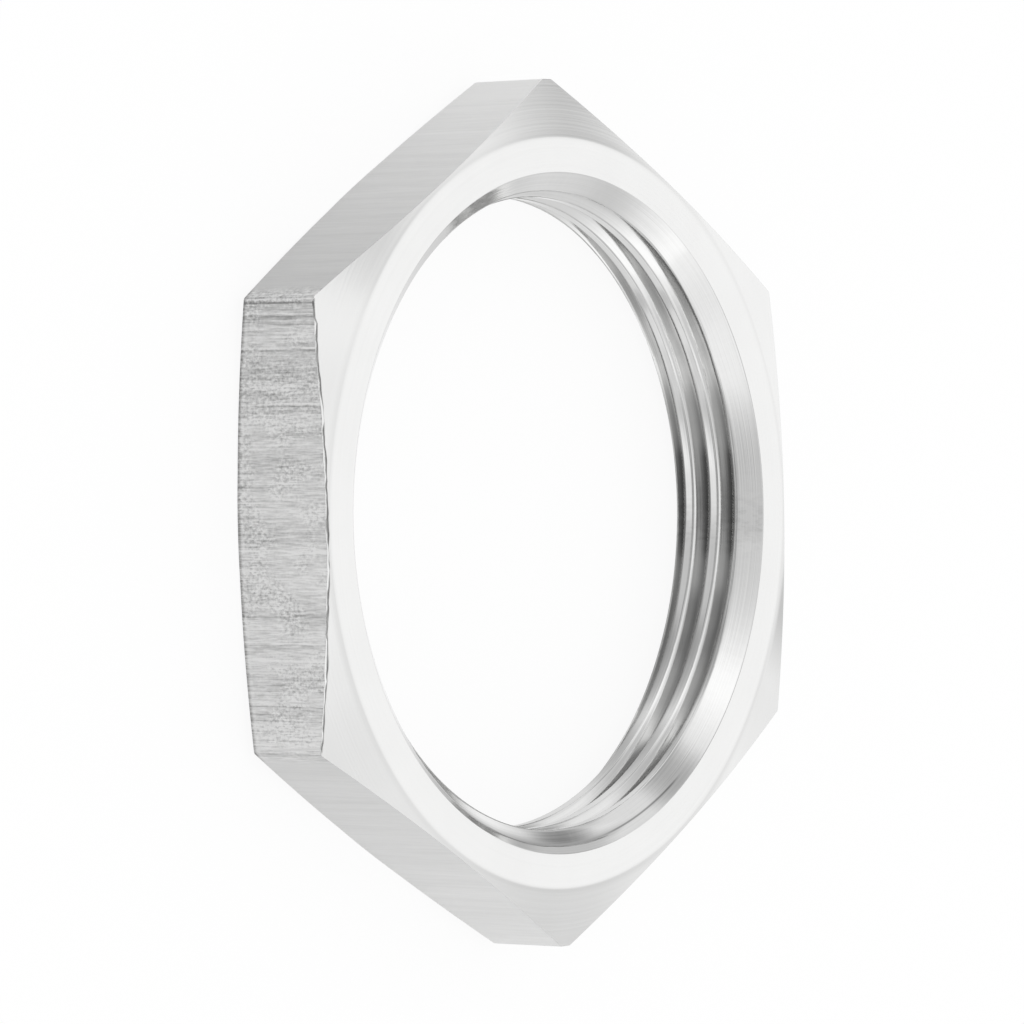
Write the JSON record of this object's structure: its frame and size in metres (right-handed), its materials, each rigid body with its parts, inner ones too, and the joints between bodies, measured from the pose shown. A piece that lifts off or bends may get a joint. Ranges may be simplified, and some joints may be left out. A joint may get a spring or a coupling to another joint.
{
  "type": "thin hex lock nut",
  "caption": "Thin hexagonal lock nut with a fine right-hand thread, countersunk mouths and turned chamfers round both bearing faces.",
  "frame": {"origin": "centre of the lower bearing face, on the thread axis", "axes": "+Z along the thread axis to the upper bearing face, X across two opposite flats, Y across two opposite corners"},
  "size_m": [0.036, 0.0412, 0.0053],
  "materials": {
    "bright_steel": "satin"
  },
  "bodies": {
    "root": {"lock_nut": "bright_steel"}
  },
  "joints": []
}
